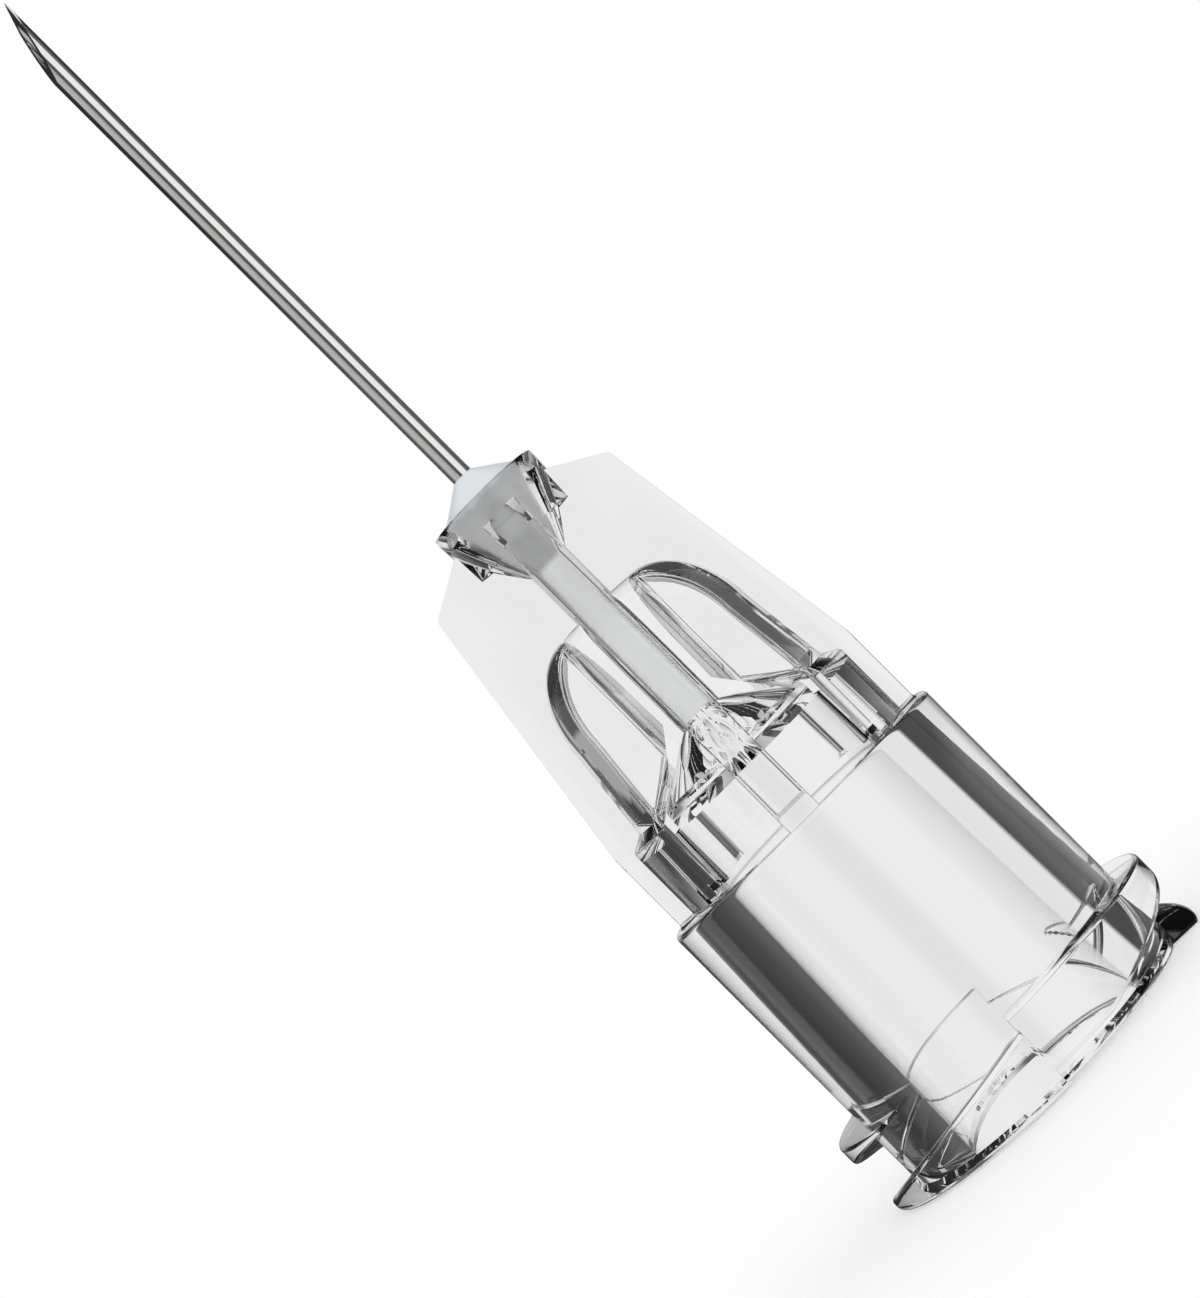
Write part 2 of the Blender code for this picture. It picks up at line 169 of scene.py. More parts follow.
# Cannula: its slanted grind and the two lancet grinds beside the point
CANNULA_RADIUS = 0.2165 * MM
LUMEN_RADIUS = 0.115 * MM
CANNULA_TOP = 27.84 * MM
GRIND_LENGTH = 1.92 * MM
GRIND_AZIMUTH = math.radians(204)
LANCET_LENGTH = 0.62 * MM
LANCET_TURN = math.radians(40)
# Side of the block that grinds, in lengths of the grind
GRIND_BLOCK = 4

# Air between the cured glue and what it fills
GLUE_GAP = 0.01 * MM

# A noise below is its features a millimetre along X, Y and Z, and its detail. This middle range
# of it is what a finish stretches over its own
MIDDLE = (0.3, 0.7)

# Clear plastic: how it bends light, its haze, and the depths of its flow lines and tool texture
PLASTIC_IOR = 1.50
PLASTIC_HAZE = 0.008
HAZE_NOISE = ((3, 3, 3), 4)
HAZE_RANGE = (0.58, 0.75)
FLOW_NOISE = ((9, 9, 0.15), 2)
FLOW_DEPTH = 0.00012 * MM
TOOL_NOISE = ((14, 14, 9), 3)
TOOL_DEPTH = 0.000004 * MM
# Light that is still inside the plastic after this many bounces leaves it straight
LAST_BEND = 7.5

# Steel, drawn and ground: the depth of its lines, and the roughnesses and tones between them
DRAWN_NOISE = ((70, 70, 0.8), 3)
DRAWN_DEPTH = 0.0003 * MM
DRAWN_ROUGHNESS = (0.05, 0.11)
DRAWN_TONES = ((0.88, 0.875, 0.86, 1), (0.95, 0.945, 0.93, 1))
GROUND_NOISE = ((3, 3, 90), 3)
GROUND_DEPTH = 0.0008 * MM
GROUND_ROUGHNESS = (0.24, 0.38)
GROUND_TONES = ((0.52, 0.51, 0.48, 1), (0.66, 0.65, 0.62, 1))

# Glue: clouds, which shift its tones up and down, ripples, and the tones by height: its own tone on
# the cone above the nose, painted shade darkening it in the funnel inside the nose, and painted light
# brightening it in the bore
GLUE_ROUGHNESS = 0.3
CLOUD_NOISE = ((2.2, 2.2, 1.2), 4)
CLOUD_DRIFT = 0.05 * MM
GLUE_RIPPLE = 0.004 * MM
GLUE_TONES_WITH_PAINTED_SHADING = (
    # Painted light: the glue in the bore is brighter than the glue on the cone
    (glue_low.z, (0.93, 0.95, 0.96, 1)),
    (FUNNEL_FOOT - 0.06 * MM, (0.93, 0.95, 0.96, 1)),
    # Painted shade: the glue in the funnel inside the nose is darker
    (FUNNEL_FOOT + 0.06 * MM, (0.50, 0.51, 0.52, 1)),
    (NOSE_TOP - 0.10 * MM, (0.47, 0.48, 0.49, 1)),
    (NOSE_TOP + 0.02 * MM, (0.74, 0.78, 0.80, 1)),
    (glue_high.z, (0.76, 0.80, 0.82, 1)),
)

# White table under the mouth
FLOOR_SIZE = 4.0
FLOOR_GAP = 0.02 * MM
WHITE = (1.0, 1.0, 1.0, 1.0)

# Studio seen in reflections, by azimuth in degrees: 0 is towards the camera, 90 is +X
STUDIO_FRONT = (
    (-105, 0.10),
    (-92, 0.42),
    (-60, 0.50),
    (-25, 0.42),
    (-10, 0.10),
    (8, 0.04),
    (20, 0.90),
    (68, 0.85),
    (78, 0.10),
    (94, 0.12),
)
STUDIO = (
    (-180, 0.05),
    (-150, 0.035),
    (-130, 0.05),
    (-114, 0.10),
    *STUDIO_FRONT,
    (108, 0.82),
    (141, 0.85),
    (147, 0.07),
    (180, 0.07),
)
# The same just above the horizon, where the back is lit otherwise
STUDIO_RAISED = (
    (-180, 0.30),
    (-150, 0.38),
    (-125, 0.38),
    *STUDIO_FRONT,
    (108, 0.12),
    (150, 0.08),
    (180, 0.08),
)

# Where one zone of the studio gives way to the next, as the sine of the elevation
RAISED = (-0.03, 0.0)
DIM = (0.045, 0.065)
DARK = (0.16, 0.24)
STEEP = (0.60, 0.85)
# How far a direction points away from the camera, from 0 to 1, where the dim and dark zones at
# the back begin, and where the lit patch straight behind the needle does
BACK = (0.15, 0.35)
STRAIGHT = (0.89, 0.95)

# Levels of the zones, and of the ceiling and the floor
DIM_LEVEL = 0.10
DARK_LEVEL = 0.025
STRAIGHT_LEVEL = 0.85
CEILING_LEVEL = 0.85
UNDER_LEVEL = 0.60

# What the plastic shows behind it, the light on everything matt, and that light inside the plastic
SEEN_THROUGH = 0.87
SOFT_LIGHT = 1.0
SOFT_LIGHT_INSIDE = 1.3
# A count of bounces is above this when there was one
ONCE = 0.5

# Camera: the photograph's, level with the hub and rolled by 45 degrees
IMAGE_LONG_SIDE = 1298
FOCAL_PIXELS = 3547
SENSOR = 36.0
CAMERA_DISTANCE = 66.3 * MM
CAMERA_HEIGHT = 10.07 * MM
CAMERA_ROLL = math.radians(45)
CAMERA_SHIFT = (-0.0518, 0.0249)
CAMERA_NEAR = 1 * MM
CAMERA_FAR = 100


def link(piece):
    bpy.context.scene.collection.objects.link(piece)
    return piece


def arc(center, radii, start, end, steps=ARC_STEPS):
    """Points (radius, height) along an ellipse from one angle to another."""
    points = []
    for step in range(steps + 1):
        angle = start + (end - start) * step / steps
        across = center[0] + radii[0] * math.cos(angle)
        up = center[1] + radii[1] * math.sin(angle)
        points.append((across, up))
    return points


def rounded(before, corner, after, radius, steps=ARC_STEPS):
    """Points of the arc that rounds a corner between two straight lines."""
    corner = Vector(corner)
    back = (Vector(before) - corner).normalized()
    ahead = (Vector(after) - corner).normalized()
    half = back.angle(ahead) / 2
    center = corner + (back + ahead).normalized() * (radius / math.sin(half))
    start = corner + back * (radius / math.tan(half)) - center
    end = corner + ahead * (radius / math.tan(half)) - center
    sweep = start.angle_signed(end)
    points = []
    for step in range(steps + 1):
        turned_by = Matrix.Rotation(-sweep * step / steps, 2) @ start
        points.append(tuple(center + turned_by))
    return points


def turned(name, profile, closed=False, steps=TURN_STEPS):
    """A profile of (radius, height) points, top to bottom on its outer side, turned about Z."""
    mesh = bpy.data.meshes.new(name)
    edges = [(i, i + 1) for i in range(len(profile) - 1)]
    if closed:
        edges.append((len(profile) - 1, 0))
    mesh.from_pydata([(radius, 0.0, height) for radius, height in profile], edges, [])
    piece = link(bpy.data.objects.new(name, mesh))
    screw = piece.modifiers.new("turn", "SCREW")
    screw.axis = "Z"
    screw.angle = 2 * math.pi
    screw.steps = steps
    screw.render_steps = steps
    screw.use_merge_vertices = True
    screw.merge_threshold = MERGE
    screw.use_smooth_shade = True
    return piece


def loft(name, sections):
    """A closed solid through sections of equally many points, with flat ends."""
    shape = bmesh.new()
    rings = [[shape.verts.new(point) for point in section] for section in sections]
    for ring, following in zip(rings, rings[1:]):
        for i in range(len(ring)):
            j = (i + 1) % len(ring)
            shape.faces.new((ring[i], ring[j], following[j], following[i]))
    shape.faces.new(reversed(rings[0]))
    shape.faces.new(rings[-1])
    bmesh.ops.triangulate(shape, faces=shape.faces)
    return object_of(name, shape)


def object_of(name, shape):
    """An object with this shape as its mesh, its faces turned outwards."""
    bmesh.ops.recalc_face_normals(shape, faces=shape.faces)
    mesh = bpy.data.meshes.new(name)
    shape.to_mesh(mesh)
    shape.free()
    return link(bpy.data.objects.new(name, mesh))


def combine(piece, others, operation):
    """Joins the others to the piece, or cuts them out of it, all in one step.

    At this fineness the exact solver leaves open and doubled faces, and this one a closed solid.
    """
    group = bpy.data.collections.new(f"{piece.name}_{operation.lower()}")
    for other in others:
        group.objects.link(other)
    step = piece.modifiers.new(group.name, "BOOLEAN")
    step.operation = operation
    step.solver = "MANIFOLD"
    step.operand_type = "COLLECTION"
    step.collection = group


def baked(piece):
    """Keeps the evaluated mesh as the piece's own and removes what shaped it."""
    graph = bpy.context.evaluated_depsgraph_get()
    mesh = bpy.data.meshes.new_from_object(piece.evaluated_get(graph))
    groups = [step.collection for step in piece.modifiers if step.type == "BOOLEAN"]
    piece.modifiers.clear()
    for group in groups:
        for helper in list(group.objects):
            bpy.data.objects.remove(helper, do_unlink=True)
        bpy.data.collections.remove(group)
    piece.data = mesh
    mesh.name = piece.name
    mesh.shade_smooth()
    mesh.set_sharp_from_angle(angle=SHARP_ANGLE)
    return piece


def barrel():
    """The barrel as a full cylinder with rounded ends, which the socket is cut from."""
    profile = [(0, BARREL_HEIGHT)]
    profile += arc(
        (BARREL_RADIUS - BARREL_ROUND, BARREL_HEIGHT - BARREL_ROUND),
        (BARREL_ROUND, BARREL_ROUND),
        math.pi / 2,
        0,
    )
    profile += [(BARREL_RADIUS, MOUTH_ROUND), (BARREL_RADIUS - MOUTH_ROUND, 0), (0, 0)]
    return turned("hub_body", profile)


def bell():
    """The collar, the ledge on it and the domed bell, down into the barrel."""
    profile = [(0, CROWN_TOP)]
    profile += arc(
        (CROWN_FLAT_RADIUS, CROWN_FOOT),
        (BELL_SIDE_RADIUS - CROWN_FLAT_RADIUS, CROWN_HEIGHT),
        math.pi / 2,
        0,
        CROWN_STEPS,
    )
    profile.append((BELL_FOOT_RADIUS, BELL_FOOT))
    profile += rounded(
        (BELL_FOOT_RADIUS, BELL_FOOT),
        (COLLAR_RADIUS, COLLAR_TOP),
        (COLLAR_RADIUS, BARREL_HEIGHT),
        COLLAR_ROUND,
    )
    foot = BARREL_HEIGHT - OVERLAP
    profile += [(COLLAR_RADIUS, foot), (0, foot)]
    return turned("bell", profile)


def pocket_outline(away, inset):
    """The pocket's outline this far above its floor, drawn in by the inset."""
    rim = RIM + inset
    waist = WAIST_HALF - WAIST_DRAFT * away + inset
    crown_width = BELL_SIDE_RADIUS - CROWN_FLAT_RADIUS
    start = math.acos((waist + rim - CROWN_FLAT_RADIUS) / crown_width)
    side = arc(
        (CROWN_FLAT_RADIUS - rim, CROWN_FOOT),
        (crown_width, CROWN_HEIGHT),
        start,
        0,
        POCKET_STEPS,
    )
    inside = (waist, ROOF_HIGH + ROOF_DRAFT * away + inset)
    outside = (BELL_FOOT_RADIUS - rim, ROOF_LOW - ROOF_DRAFT * away + inset)
    outline = rounded(outside, inside, side[0], POCKET_BEND)
    outline += side
    outline += rounded(side[-1], outside, inside, POCKET_ROUND)
    return outline


def placed(outline, side, depth):
    """An outline of (across, up) points on one side of the axis, at this depth along Y."""
    return [(side * across, depth, up) for across, up in outline]


def pocket(name, side, face):
    """The space of one pocket, rounded where its walls meet its floor."""
    sections = []
    for step in range(ARC_STEPS + 1):
        angle = math.pi / 2 * step / ARC_STEPS
        away = POCKET_ROUND * (1 - math.cos(angle))
        outline = pocket_outline(away, POCKET_ROUND * (1 - math.sin(angle)))
        sections.append(placed(outline, side, face * (POCKET_FLOOR + away)))
    outline = pocket_outline(POCKET_REACH, 0)
    sections.append(placed(outline, side, face * (POCKET_FLOOR + POCKET_REACH)))
    return loft(name, sections)


def slot(name, side, face):
    """The narrow slot that carries the pocket's outer side on down beside the socket."""
    inner, outer = SLOT_SIDES
    top = ROOF_LOW + OVERLAP
    outline = [(inner, SLOT_FOOT), (outer, SLOT_FOOT), (outer, top), (inner, top)]
    depths = (SLOT_FLOOR, COLLAR_RADIUS + OVERLAP)
    return loft(name, [placed(outline, side, face * depth) for depth in depths])


def fin_outline():
    """The right half of a plate of fins, from the axis in the barrel out and up to the nose."""
    foot = (FIN_FOOT_RADIUS, BARREL_HEIGHT - FIN_FOOT_SINK)
    knee = (FIN_FOOT_RADIUS, BARREL_HEIGHT + FIN_FOOT_HEIGHT)
    corner = (FIN_TOP_RADIUS, NOSE_TOP - FIN_TOP_DROP)
    root = (NOSE_FOOT_RADIUS, NOSE_TOP - FIN_ROOT_DROP)
    outline = [(0, BARREL_HEIGHT - OVERLAP)]
    outline.append((FIN_FOOT_RADIUS - FIN_FOOT_ROUND, BARREL_HEIGHT - OVERLAP))
    outline.append((FIN_FOOT_RADIUS + FIN_FOOT_ROUND, BARREL_HEIGHT - BARREL_ROUND))
    outline += rounded((THREAD_RADIUS, foot[1]), foot, knee, FIN_FOOT_ROUND)
    outline.append(knee)
    outline += rounded(knee, corner, root, FIN_TOP_ROUND)
    outline.append(root)
    outline.append((0, root[1]))
    return outline


def fin_plate(name, turn):
    """Two opposite fins as one plate, thinner towards its edges, which are rounded."""
    right = fin_outline()
    left = [(-across, up) for across, up in reversed(right[1:-1])]
    outline = right + left
    thinning = (FIN_ROOT_HALF - FIN_EDGE_HALF) / FIN_FOOT_RADIUS
    shape = bmesh.new()
    faces = []
    for side in (-1, 1):
        ring = []
        for across, up in outline:
            half = FIN_ROOT_HALF - thinning * abs(across)
            ring.append(shape.verts.new((across, side * half, up)))
        faces.append(ring)
    front, back = faces
    spine = len(right) - 1
    shape.faces.new(front[: spine + 1])
    shape.faces.new(front[spine:] + front[:1])
    shape.faces.new(reversed(back[: spine + 1]))
    shape.faces.new(reversed(back[spine:] + back[:1]))
    for i in range(len(outline)):
        j = (i + 1) % len(outline)
        shape.faces.new((front[j], front[i], back[i], back[j]))
    plate = object_of(name, shape)
    plate.rotation_euler.z = turn
    edges = plate.modifiers.new("edges", "BEVEL")
    edges.width = FIN_EDGE_ROUND
    edges.segments = FIN_EDGE_STEPS
    edges.limit_method = "ANGLE"
    edges.angle_limit = FIN_EDGE_ANGLE
    return plate


def nose():
    """The nose, and the cone under it that narrows to the bore's width."""
    profile = [(0, NOSE_TOP)]
    profile += arc(
        (NOSE_RADIUS - NOSE_ROUND, NOSE_TOP - NOSE_ROUND),
        (NOSE_ROUND, NOSE_ROUND),
        math.pi / 2,
        0,
    )
    profile.append((NOSE_FOOT_RADIUS, NOSE_FOOT))
    profile.append((NOSE_CONE_RADIUS, NOSE_FOOT))
    profile.append((BORE_RADIUS, NOSE_FOOT - NOSE_CONE_HEIGHT))
    profile.append((0, NOSE_FOOT - NOSE_CONE_HEIGHT))
    return turned("nose", profile)


def thread_point(radius, angle, height):
    return (radius * math.sin(angle), -radius * math.cos(angle), height)


def thread_section(angle, low, high):
    """The ridge's section at one angle, rounded at its outer edges."""
    inner = BARREL_RADIUS - OVERLAP
    bend = min(THREAD_ROUND, (high - low) / THREAD_ROUND_PARTS)
    outer = THREAD_RADIUS - bend
    section = [(inner, low)]
    section += arc((outer, low + bend), (bend, bend), -math.pi / 2, 0, THREAD_ROUND_STEPS)
    section += arc((outer, high - bend), (bend, bend), 0, math.pi / 2, THREAD_ROUND_STEPS)
    section.append((inner, high))
    return [thread_point(radius, angle, height) for radius, height in section]


def ridge(name, turn):
    """One ridge: its top rises to the step from just above the mouth, its underside after it."""
    rise = THREAD_LEAD / (2 * math.pi)
    start = (THREAD_LIFT + THREAD_THIN - LOW_RIDGE_TOP) / rise
    end = HIGH_RIDGE_FLAT + (HIGH_RIDGE_TOP - THREAD_THIN - HIGH_RIDGE_FLOOR) / rise
    low_steps = math.ceil(-start / THREAD_STEP_ANGLE)
    high_steps = math.ceil(end / THREAD_STEP_ANGLE)
    sections = []
    for step in range(low_steps + 1):
        angle = start * (1 - step / low_steps)
        top = LOW_RIDGE_TOP + rise * angle
        sections.append(thread_section(turn - THREAD_HALF_STEP + angle, THREAD_LIFT, top))
    for step in range(high_steps + 1):
        angle = end * step / high_steps
        floor = HIGH_RIDGE_FLOOR + rise * max(angle - HIGH_RIDGE_FLAT, 0)
        sections.append(thread_section(turn + THREAD_HALF_STEP + angle, floor, HIGH_RIDGE_TOP))
    return loft(name, sections)


def socket():
    """The space inside the hub: funnel, bore, throat and the tapered socket with its flared mouth."""
    narrowing = LUER_TAPER / 2 * SOCKET_END
    past = OVERLAP
    funnel_spread = (FUNNEL_RADIUS - BORE_RADIUS) / (NOSE_TOP - FUNNEL_FOOT)
    profile = [
        (0, NOSE_TOP + past),
        (FUNNEL_RADIUS + funnel_spread * past, NOSE_TOP + past),
        (BORE_RADIUS, FUNNEL_FOOT),
        (BORE_RADIUS, BORE_FOOT),
        (THROAT_TOP_RADIUS, THROAT_TOP),
        (THROAT_RADIUS, THROAT_FOOT),
        (SOCKET_MOUTH_RADIUS - narrowing, SOCKET_END),
        (SOCKET_MOUTH_RADIUS - LUER_TAPER / 2 * SOCKET_MOUTH_ROUND, SOCKET_MOUTH_ROUND),
        (SOCKET_MOUTH_RADIUS + SOCKET_MOUTH_ROUND, 0),
        (SOCKET_MOUTH_RADIUS + SOCKET_MOUTH_ROUND, -past),
        (0, -past),
    ]
    return turned("socket", profile)


def build_hub(finish):
    hub = barrel()
    joined = [bell(), fin_plate("plate_across", 0), fin_plate("plate_along", math.pi / 2), nose()]
    for start in range(THREAD_STARTS):
        joined.append(ridge(f"ridge_{start}", 2 * math.pi * start / THREAD_STARTS))
    combine(hub, joined, "UNION")
    spaces = [socket()]
    for side, side_name in ((-1, "left"), (1, "right")):
        for face, face_name in ((-1, "front"), (1, "back")):
            spaces.append(pocket(f"pocket_{side_name}_{face_name}", side, face))
            spaces.append(slot(f"slot_{side_name}_{face_name}", side, face))
    combine(hub, spaces, "DIFFERENCE")
    baked(hub)
    hub.data.materials.clear()
    hub.data.materials.append(finish)
    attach(hub, ROOT)
    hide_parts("hub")


def grind(name, turn, slope):
    """A block whose lower face is a grinding plane through the point."""
    azimuth = GRIND_AZIMUTH + turn
    point = Vector((-math.cos(GRIND_AZIMUTH), -math.sin(GRIND_AZIMUTH), 0)) * CANNULA_RADIUS
    point.z = CANNULA_TOP
    size = GRIND_BLOCK * GRIND_LENGTH
    bpy.ops.mesh.primitive_cube_add(size=size)
    block = bpy.context.object
    block.name = name
    lift = Matrix.Translation((0, 0, size / 2))
    tilt = Matrix.Rotation(math.pi / 2 - slope, 4, "Y")
    face = Matrix.Rotation(azimuth, 4, "Z")
    block.matrix_world = Matrix.Translation(point) @ face @ tilt @ lift
    return block


def build_cannula(finish, ground):
    profile = [
        (CANNULA_RADIUS, CANNULA_TOP),
        (CANNULA_RADIUS, cannula_low.z),
        (LUMEN_RADIUS, cannula_low.z),
        (LUMEN_RADIUS, CANNULA_TOP),
    ]
    cannula = turned("cannula_tube", profile, closed=True, steps=CANNULA_STEPS)
    cannula.data.materials.append(finish)
    slope = math.atan2(2 * CANNULA_RADIUS, GRIND_LENGTH)
    flare = math.sqrt(GRIND_LENGTH / LANCET_LENGTH - 1)
    steepness = math.cos(LANCET_TURN) + flare * math.sin(LANCET_TURN)
    lancet_slope = math.atan(steepness * math.tan(slope))
    blocks = [grind("grind", 0, slope)]
    blocks.append(grind("lancet_left", -LANCET_TURN, lancet_slope))
    blocks.append(grind("lancet_right", LANCET_TURN, lancet_slope))
    for block in blocks:
        block.data.materials.append(ground)
    combine(cannula, blocks, "DIFFERENCE")
    baked(cannula)
    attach(cannula, ROOT)
    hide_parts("cannula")


def build_adhesive(finish):
    inner = CANNULA_RADIUS + GLUE_GAP
    outer = BORE_RADIUS - GLUE_GAP
    rim = FUNNEL_RADIUS - GLUE_GAP
    profile = [
        (inner, glue_high.z),
        (rim, NOSE_TOP),
        (outer, FUNNEL_FOOT),
        (outer, glue_low.z),
        (inner, glue_low.z),
    ]
    adhesive = baked(turned("glue_joint", profile, closed=True))
    adhesive.data.materials.append(finish)
    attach(adhesive, ROOT)
    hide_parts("adhesive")


def new_material(name):
    made = bpy.data.materials.new(name)
    made.use_nodes = True
    nodes = made.node_tree.nodes
    return made, nodes, made.node_tree.links, nodes["Principled BSDF"]


def stretched_noise(nodes, links, scale, detail):
    """Noise over the piece, with its own scale along each axis in features a millimetre."""
    place = nodes.new("ShaderNodeTexCoord")
    stretch = nodes.new("ShaderNodeMapping")
    stretch.inputs["Scale"].default_value = [value / MM for value in scale]
    noise = nodes.new("ShaderNodeTexNoise")
    noise.inputs["Scale"].default_value = 1.0
    noise.inputs["Detail"].default_value = detail
    links.new(place.outputs["Object"], stretch.inputs["Vector"])
    links.new(stretch.outputs["Vector"], noise.inputs["Vector"])
    return noise.outputs["Fac"]


def spread(nodes, links, value, low, high, start, end):
    """The value's range from start to end stretched from low to high."""
    ranged = nodes.new("ShaderNodeMapRange")
    ranged.inputs["From Min"].default_value = start
    ranged.inputs["From Max"].default_value = end
    ranged.inputs["To Min"].default_value = low
    ranged.inputs["To Max"].default_value = high
    links.new(value, ranged.inputs["Value"])
    return ranged.outputs["Result"]


def share(nodes, links, value, start, end):
    """0 where the value is at the start or before it, and 1 where it is at the end or past it."""
    return spread(nodes, links, value, 0.0, 1.0, start, end)


def calculated(nodes, links, operation, first, second):
    """One step of arithmetic between an output and an output or a number."""
    step = nodes.new("ShaderNodeMath")
    step.operation = operation
    links.new(first, step.inputs[0])
    if isinstance(second, float):
        step.inputs[1].default_value = second
    else:
        links.new(second, step.inputs[1])
    return step.outputs["Value"]


def mixed(nodes, links, factor, first, second):
    """The first colour where the factor is 0, and the second colour or plain level where it is 1."""
    blend = nodes.new("ShaderNodeMix")
    blend.data_type = "RGBA"
    links.new(factor, blend.inputs["Factor"])
    colours = [entry for entry in blend.inputs if entry.type == "RGBA"]
    links.new(first, colours[0])
    if isinstance(second, float):
        colours[1].default_value = (second, second, second, 1)
    else:
        links.new(second, colours[1])
    return [entry for entry in blend.outputs if entry.type == "RGBA"][0]


def either(nodes, links, factor, first, second):
    """The first shader where the factor is 0, and the second where it is 1."""
    choose = nodes.new("ShaderNodeMixShader")
    links.new(factor, choose.inputs["Fac"])
    links.new(first, choose.inputs[1])
    links.new(second, choose.inputs[2])
    return choose.outputs["Shader"]


def toned(nodes, links, value, stops):
    """The value's colour, between stops of a position and a colour each."""
    ramp = nodes.new("ShaderNodeValToRGB")
    elements = ramp.color_ramp.elements
    for element, (position, colour) in zip(elements, (stops[0], stops[-1])):
        element.position = position
        element.color = colour
    for position, colour in stops[1:-1]:
        elements.new(position).color = colour
    links.new(value, ramp.inputs["Fac"])
    return ramp.outputs["Color"]


def bumped(nodes, links, shader, height, depth):
    bump = nodes.new("ShaderNodeBump")
    bump.inputs["Strength"].default_value = 1.0
    bump.inputs["Distance"].default_value = depth
    links.new(height, bump.inputs["Height"])
    links.new(bump.outputs["Normal"], shader.inputs["Normal"])
    return bump


def clear_plastic():
    """Clear moulding with faint flow lines along its draw and a fine tool texture."""
    made, nodes, links, shader = new_material("clear_plastic")
    shader.inputs["Base Color"].default_value = WHITE
    shader.inputs["Transmission Weight"].default_value = 1.0
    shader.inputs["IOR"].default_value = PLASTIC_IOR
    haze = stretched_noise(nodes, links, *HAZE_NOISE)
    haze = spread(nodes, links, haze, 0.0, PLASTIC_HAZE, *HAZE_RANGE)
    links.new(haze, shader.inputs["Roughness"])
    flow = bumped(nodes, links, shader, stretched_noise(nodes, links, *FLOW_NOISE), FLOW_DEPTH)
    tool = bumped(nodes, links, shader, stretched_noise(nodes, links, *TOOL_NOISE), TOOL_DEPTH)
    links.new(flow.outputs["Normal"], tool.inputs["Normal"])
    clear = nodes.new("ShaderNodeBsdfTransparent")
    path = nodes.new("ShaderNodeLightPath")
    late = calculated(nodes, links, "GREATER_THAN", path.outputs["Ray Depth"], LAST_BEND)
    surface = either(nodes, links, late, shader.outputs["BSDF"], clear.outputs["BSDF"])
    links.new(surface, nodes["Material Output"].inputs["Surface"])
    return made


def steel(name, noise, depth, roughness, tones):
    """Bare steel whose lines change its roughness and its tone."""
    made, nodes, links, shader = new_material(name)
    shader.inputs["Metallic"].default_value = 1.0
    lines = stretched_noise(nodes, links, *noise)
    links.new(spread(nodes, links, lines, *roughness, *MIDDLE), shader.inputs["Roughness"])
    tone = toned(nodes, links, lines, list(zip(MIDDLE, tones)))
    links.new(tone, shader.inputs["Base Color"])
    bumped(nodes, links, shader, lines, depth)
    return made


def drawn_steel():
    """Drawn tube: bright, with fine lines along it."""
    return steel("drawn_steel", DRAWN_NOISE, DRAWN_DEPTH, DRAWN_ROUGHNESS, DRAWN_TONES)


def ground_steel():
    """Ground bevel: dull, with the wheel's scratches across it."""
    return steel("ground_steel", GROUND_NOISE, GROUND_DEPTH, GROUND_ROUGHNESS, GROUND_TONES)


def cured_glue():
    """Cured glue: cloudy in the bore, smooth on the cone, with painted shade darkening it in the
    funnel and painted light brightening it in the bore.
    """
    made, nodes, links, shader = new_material("cured_glue")
    shader.inputs["Roughness"].default_value = GLUE_ROUGHNESS
    place = nodes.new("ShaderNodeTexCoord")
    split = nodes.new("ShaderNodeSeparateXYZ")
    links.new(place.outputs["Object"], split.inputs["Vector"])
    cloud = stretched_noise(nodes, links, *CLOUD_NOISE)
    drift = spread(nodes, links, cloud, -CLOUD_DRIFT, CLOUD_DRIFT, *MIDDLE)
    height = calculated(nodes, links, "ADD", split.outputs["Z"], drift)
    level = share(nodes, links, height, glue_low.z, glue_high.z)
    span = glue_high.z - glue_low.z
    # The tones by height paint shade on the glue in the funnel and light on it in the bore
    stops = [((up - glue_low.z) / span, colour) for up, colour in GLUE_TONES_WITH_PAINTED_SHADING]
    links.new(toned(nodes, links, level, stops), shader.inputs["Base Color"])
    bumped(nodes, links, shader, cloud, GLUE_RIPPLE)
    return made


def white_floor():
    """Plain white table. It keeps the shadow, and the plastic shows the backdrop through it."""
    made, nodes, links, shader = new_material("white_floor")
    nodes.remove(shader)
    matt = nodes.new("ShaderNodeBsdfDiffuse")
    matt.inputs["Color"].default_value = WHITE
    clear = nodes.new("ShaderNodeBsdfTransparent")
    path = nodes.new("ShaderNodeLightPath")
    camera = path.outputs["Is Camera Ray"]
    surface = either(nodes, links, camera, clear.outputs["BSDF"], matt.outputs["BSDF"])
    links.new(surface, nodes["Material Output"].inputs["Surface"])
    return made


def build_floor(finish):
    bpy.ops.mesh.primitive_plane_add(size=FLOOR_SIZE, location=(0, 0, -FLOOR_GAP))
    floor = bpy.context.object
    floor.name = "floor"
    floor.data.materials.append(finish)


def horizon(nodes, links, turned_to, levels):
    """The studio's levels round the horizon, from pairs of an azimuth and a level."""
    stops = [((degrees + 180) / 360, (level, level, level, 1)) for degrees, level in levels]
    return toned(nodes, links, turned_to, stops)


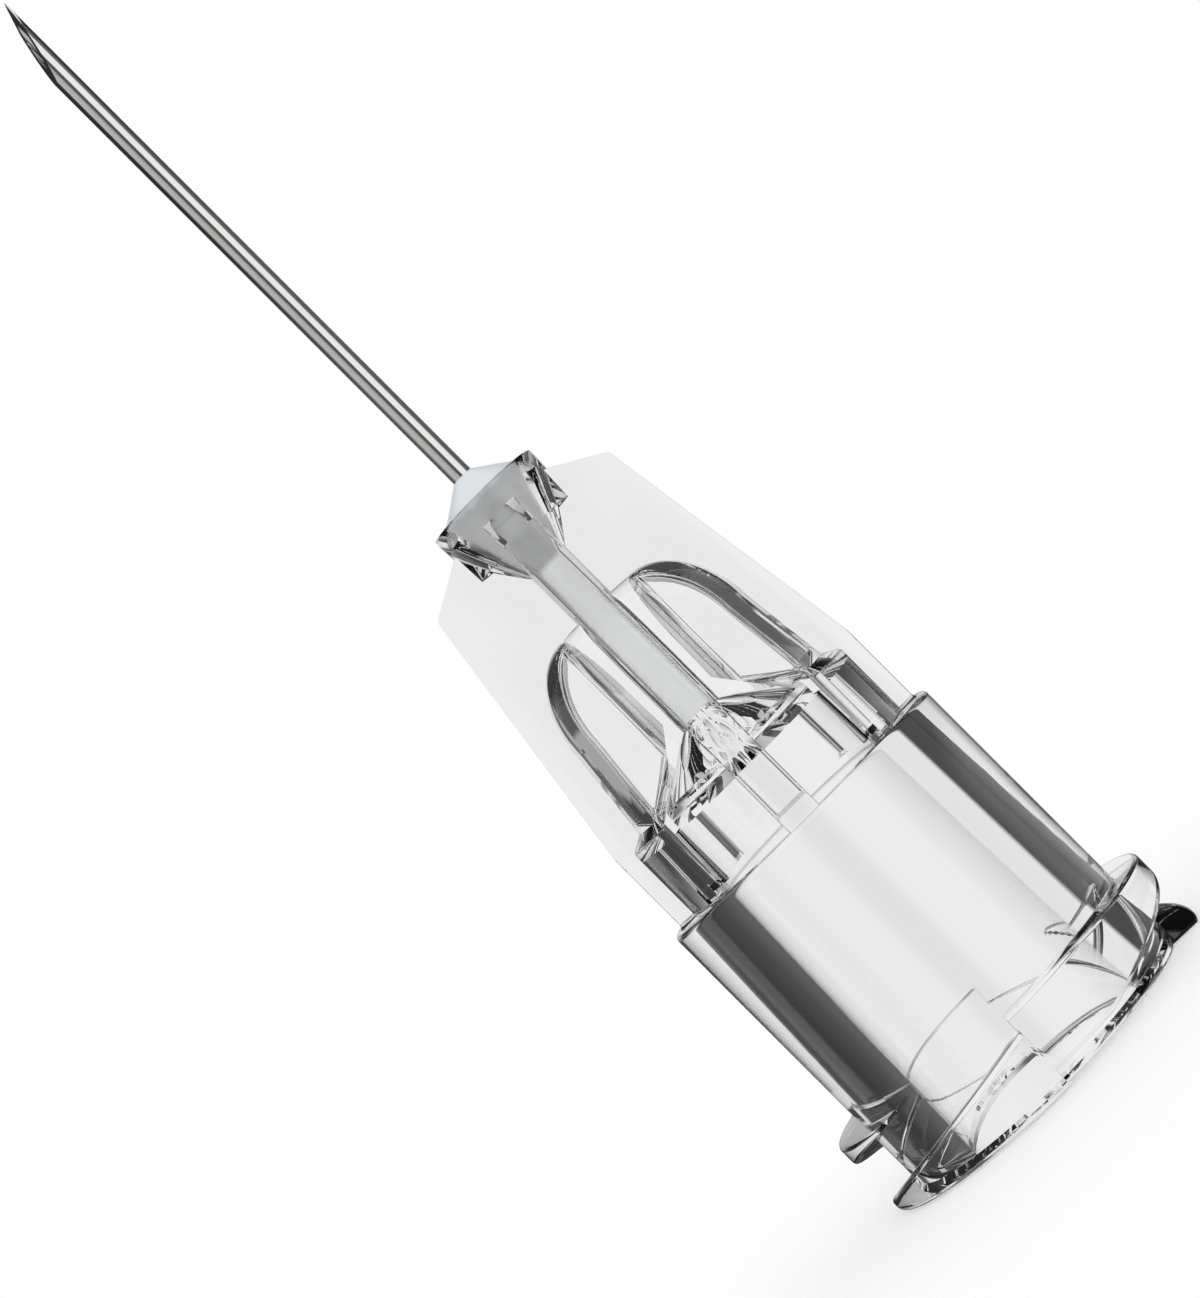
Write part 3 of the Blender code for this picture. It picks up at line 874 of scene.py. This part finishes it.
def studio(nodes, links):
    """The studio by direction: two rings at the horizon, the back, the ceiling and the floor."""
    place = nodes.new("ShaderNodeTexCoord")
    split = nodes.new("ShaderNodeSeparateXYZ")
    links.new(place.outputs["Generated"], split.inputs["Vector"])
    along, away, up = (split.outputs[axis] for axis in "XYZ")
    towards = calculated(nodes, links, "MULTIPLY", away, -1.0)
    azimuth = calculated(nodes, links, "ARCTAN2", along, towards)
    turned_to = share(nodes, links, azimuth, -math.pi, math.pi)
    low_ring = horizon(nodes, links, turned_to, STUDIO)
    raised_ring = horizon(nodes, links, turned_to, STUDIO_RAISED)
    raised = share(nodes, links, up, *RAISED)
    colour = mixed(nodes, links, raised, low_ring, raised_ring)
    for behind, above, level in (
        (BACK, DIM, DIM_LEVEL),
        (BACK, DARK, DARK_LEVEL),
        (STRAIGHT, (RAISED[1], DIM[1]), STRAIGHT_LEVEL),
    ):
        behind = share(nodes, links, away, *behind)
        above = share(nodes, links, up, *above)
        here = calculated(nodes, links, "MULTIPLY", behind, above)
        colour = mixed(nodes, links, here, colour, level)
    ceiling = share(nodes, links, up, *STEEP)
    colour = mixed(nodes, links, ceiling, colour, CEILING_LEVEL)
    under = share(nodes, links, up, *(-edge for edge in STEEP))
    return mixed(nodes, links, under, colour, UNDER_LEVEL)


def studio_light(nodes, links, path):
    """What a path of light meets: the studio if it was reflected, and even light otherwise."""
    glossy, through = path.outputs["Glossy Depth"], path.outputs["Transmission Depth"]
    direct = calculated(nodes, links, "LESS_THAN", glossy, ONCE)
    result = mixed(nodes, links, direct, studio(nodes, links), SEEN_THROUGH)
    both = calculated(nodes, links, "ADD", glossy, through)
    open_air = calculated(nodes, links, "LESS_THAN", both, ONCE)
    result = mixed(nodes, links, open_air, result, SOFT_LIGHT)
    soft = calculated(nodes, links, "GREATER_THAN", path.outputs["Diffuse Depth"], ONCE)
    inside = calculated(nodes, links, "GREATER_THAN", through, ONCE)
    inside = calculated(nodes, links, "MULTIPLY", inside, soft)
    return mixed(nodes, links, inside, result, SOFT_LIGHT_INSIDE)


def build_world():
    """Plain white for the camera, and the studio's light for everything else."""
    world = bpy.data.worlds.new("studio")
    bpy.context.scene.world = world
    world.use_nodes = True
    nodes = world.node_tree.nodes
    links = world.node_tree.links
    nodes.clear()
    path = nodes.new("ShaderNodeLightPath")
    lit = nodes.new("ShaderNodeBackground")
    links.new(studio_light(nodes, links, path), lit.inputs["Color"])
    seen = nodes.new("ShaderNodeBackground")
    seen.inputs["Color"].default_value = WHITE
    camera = path.outputs["Is Camera Ray"]
    surface = either(nodes, links, camera, lit.outputs["Background"], seen.outputs["Background"])
    out = nodes.new("ShaderNodeOutputWorld")
    links.new(surface, out.inputs["Surface"])


def build_camera():
    data = bpy.data.cameras.new("camera")
    camera = link(bpy.data.objects.new("camera", data))
    data.sensor_width = SENSOR
    data.lens = SENSOR * FOCAL_PIXELS / IMAGE_LONG_SIDE
    data.shift_x, data.shift_y = CAMERA_SHIFT
    data.clip_start = CAMERA_NEAR
    data.clip_end = CAMERA_FAR
    level = Matrix.Rotation(math.pi / 2, 4, "X")
    roll = Matrix.Rotation(CAMERA_ROLL, 4, "Y")
    place = Matrix.Translation((0, -CAMERA_DISTANCE, CAMERA_HEIGHT))
    camera.matrix_world = place @ roll @ level
    bpy.context.scene.camera = camera


def main():
    bpy.context.scene.view_settings.view_transform = "Standard"
    build_camera()
    build_world()
    build_hub(clear_plastic())
    build_cannula(drawn_steel(), ground_steel())
    build_adhesive(cured_glue())
    build_floor(white_floor())


main()
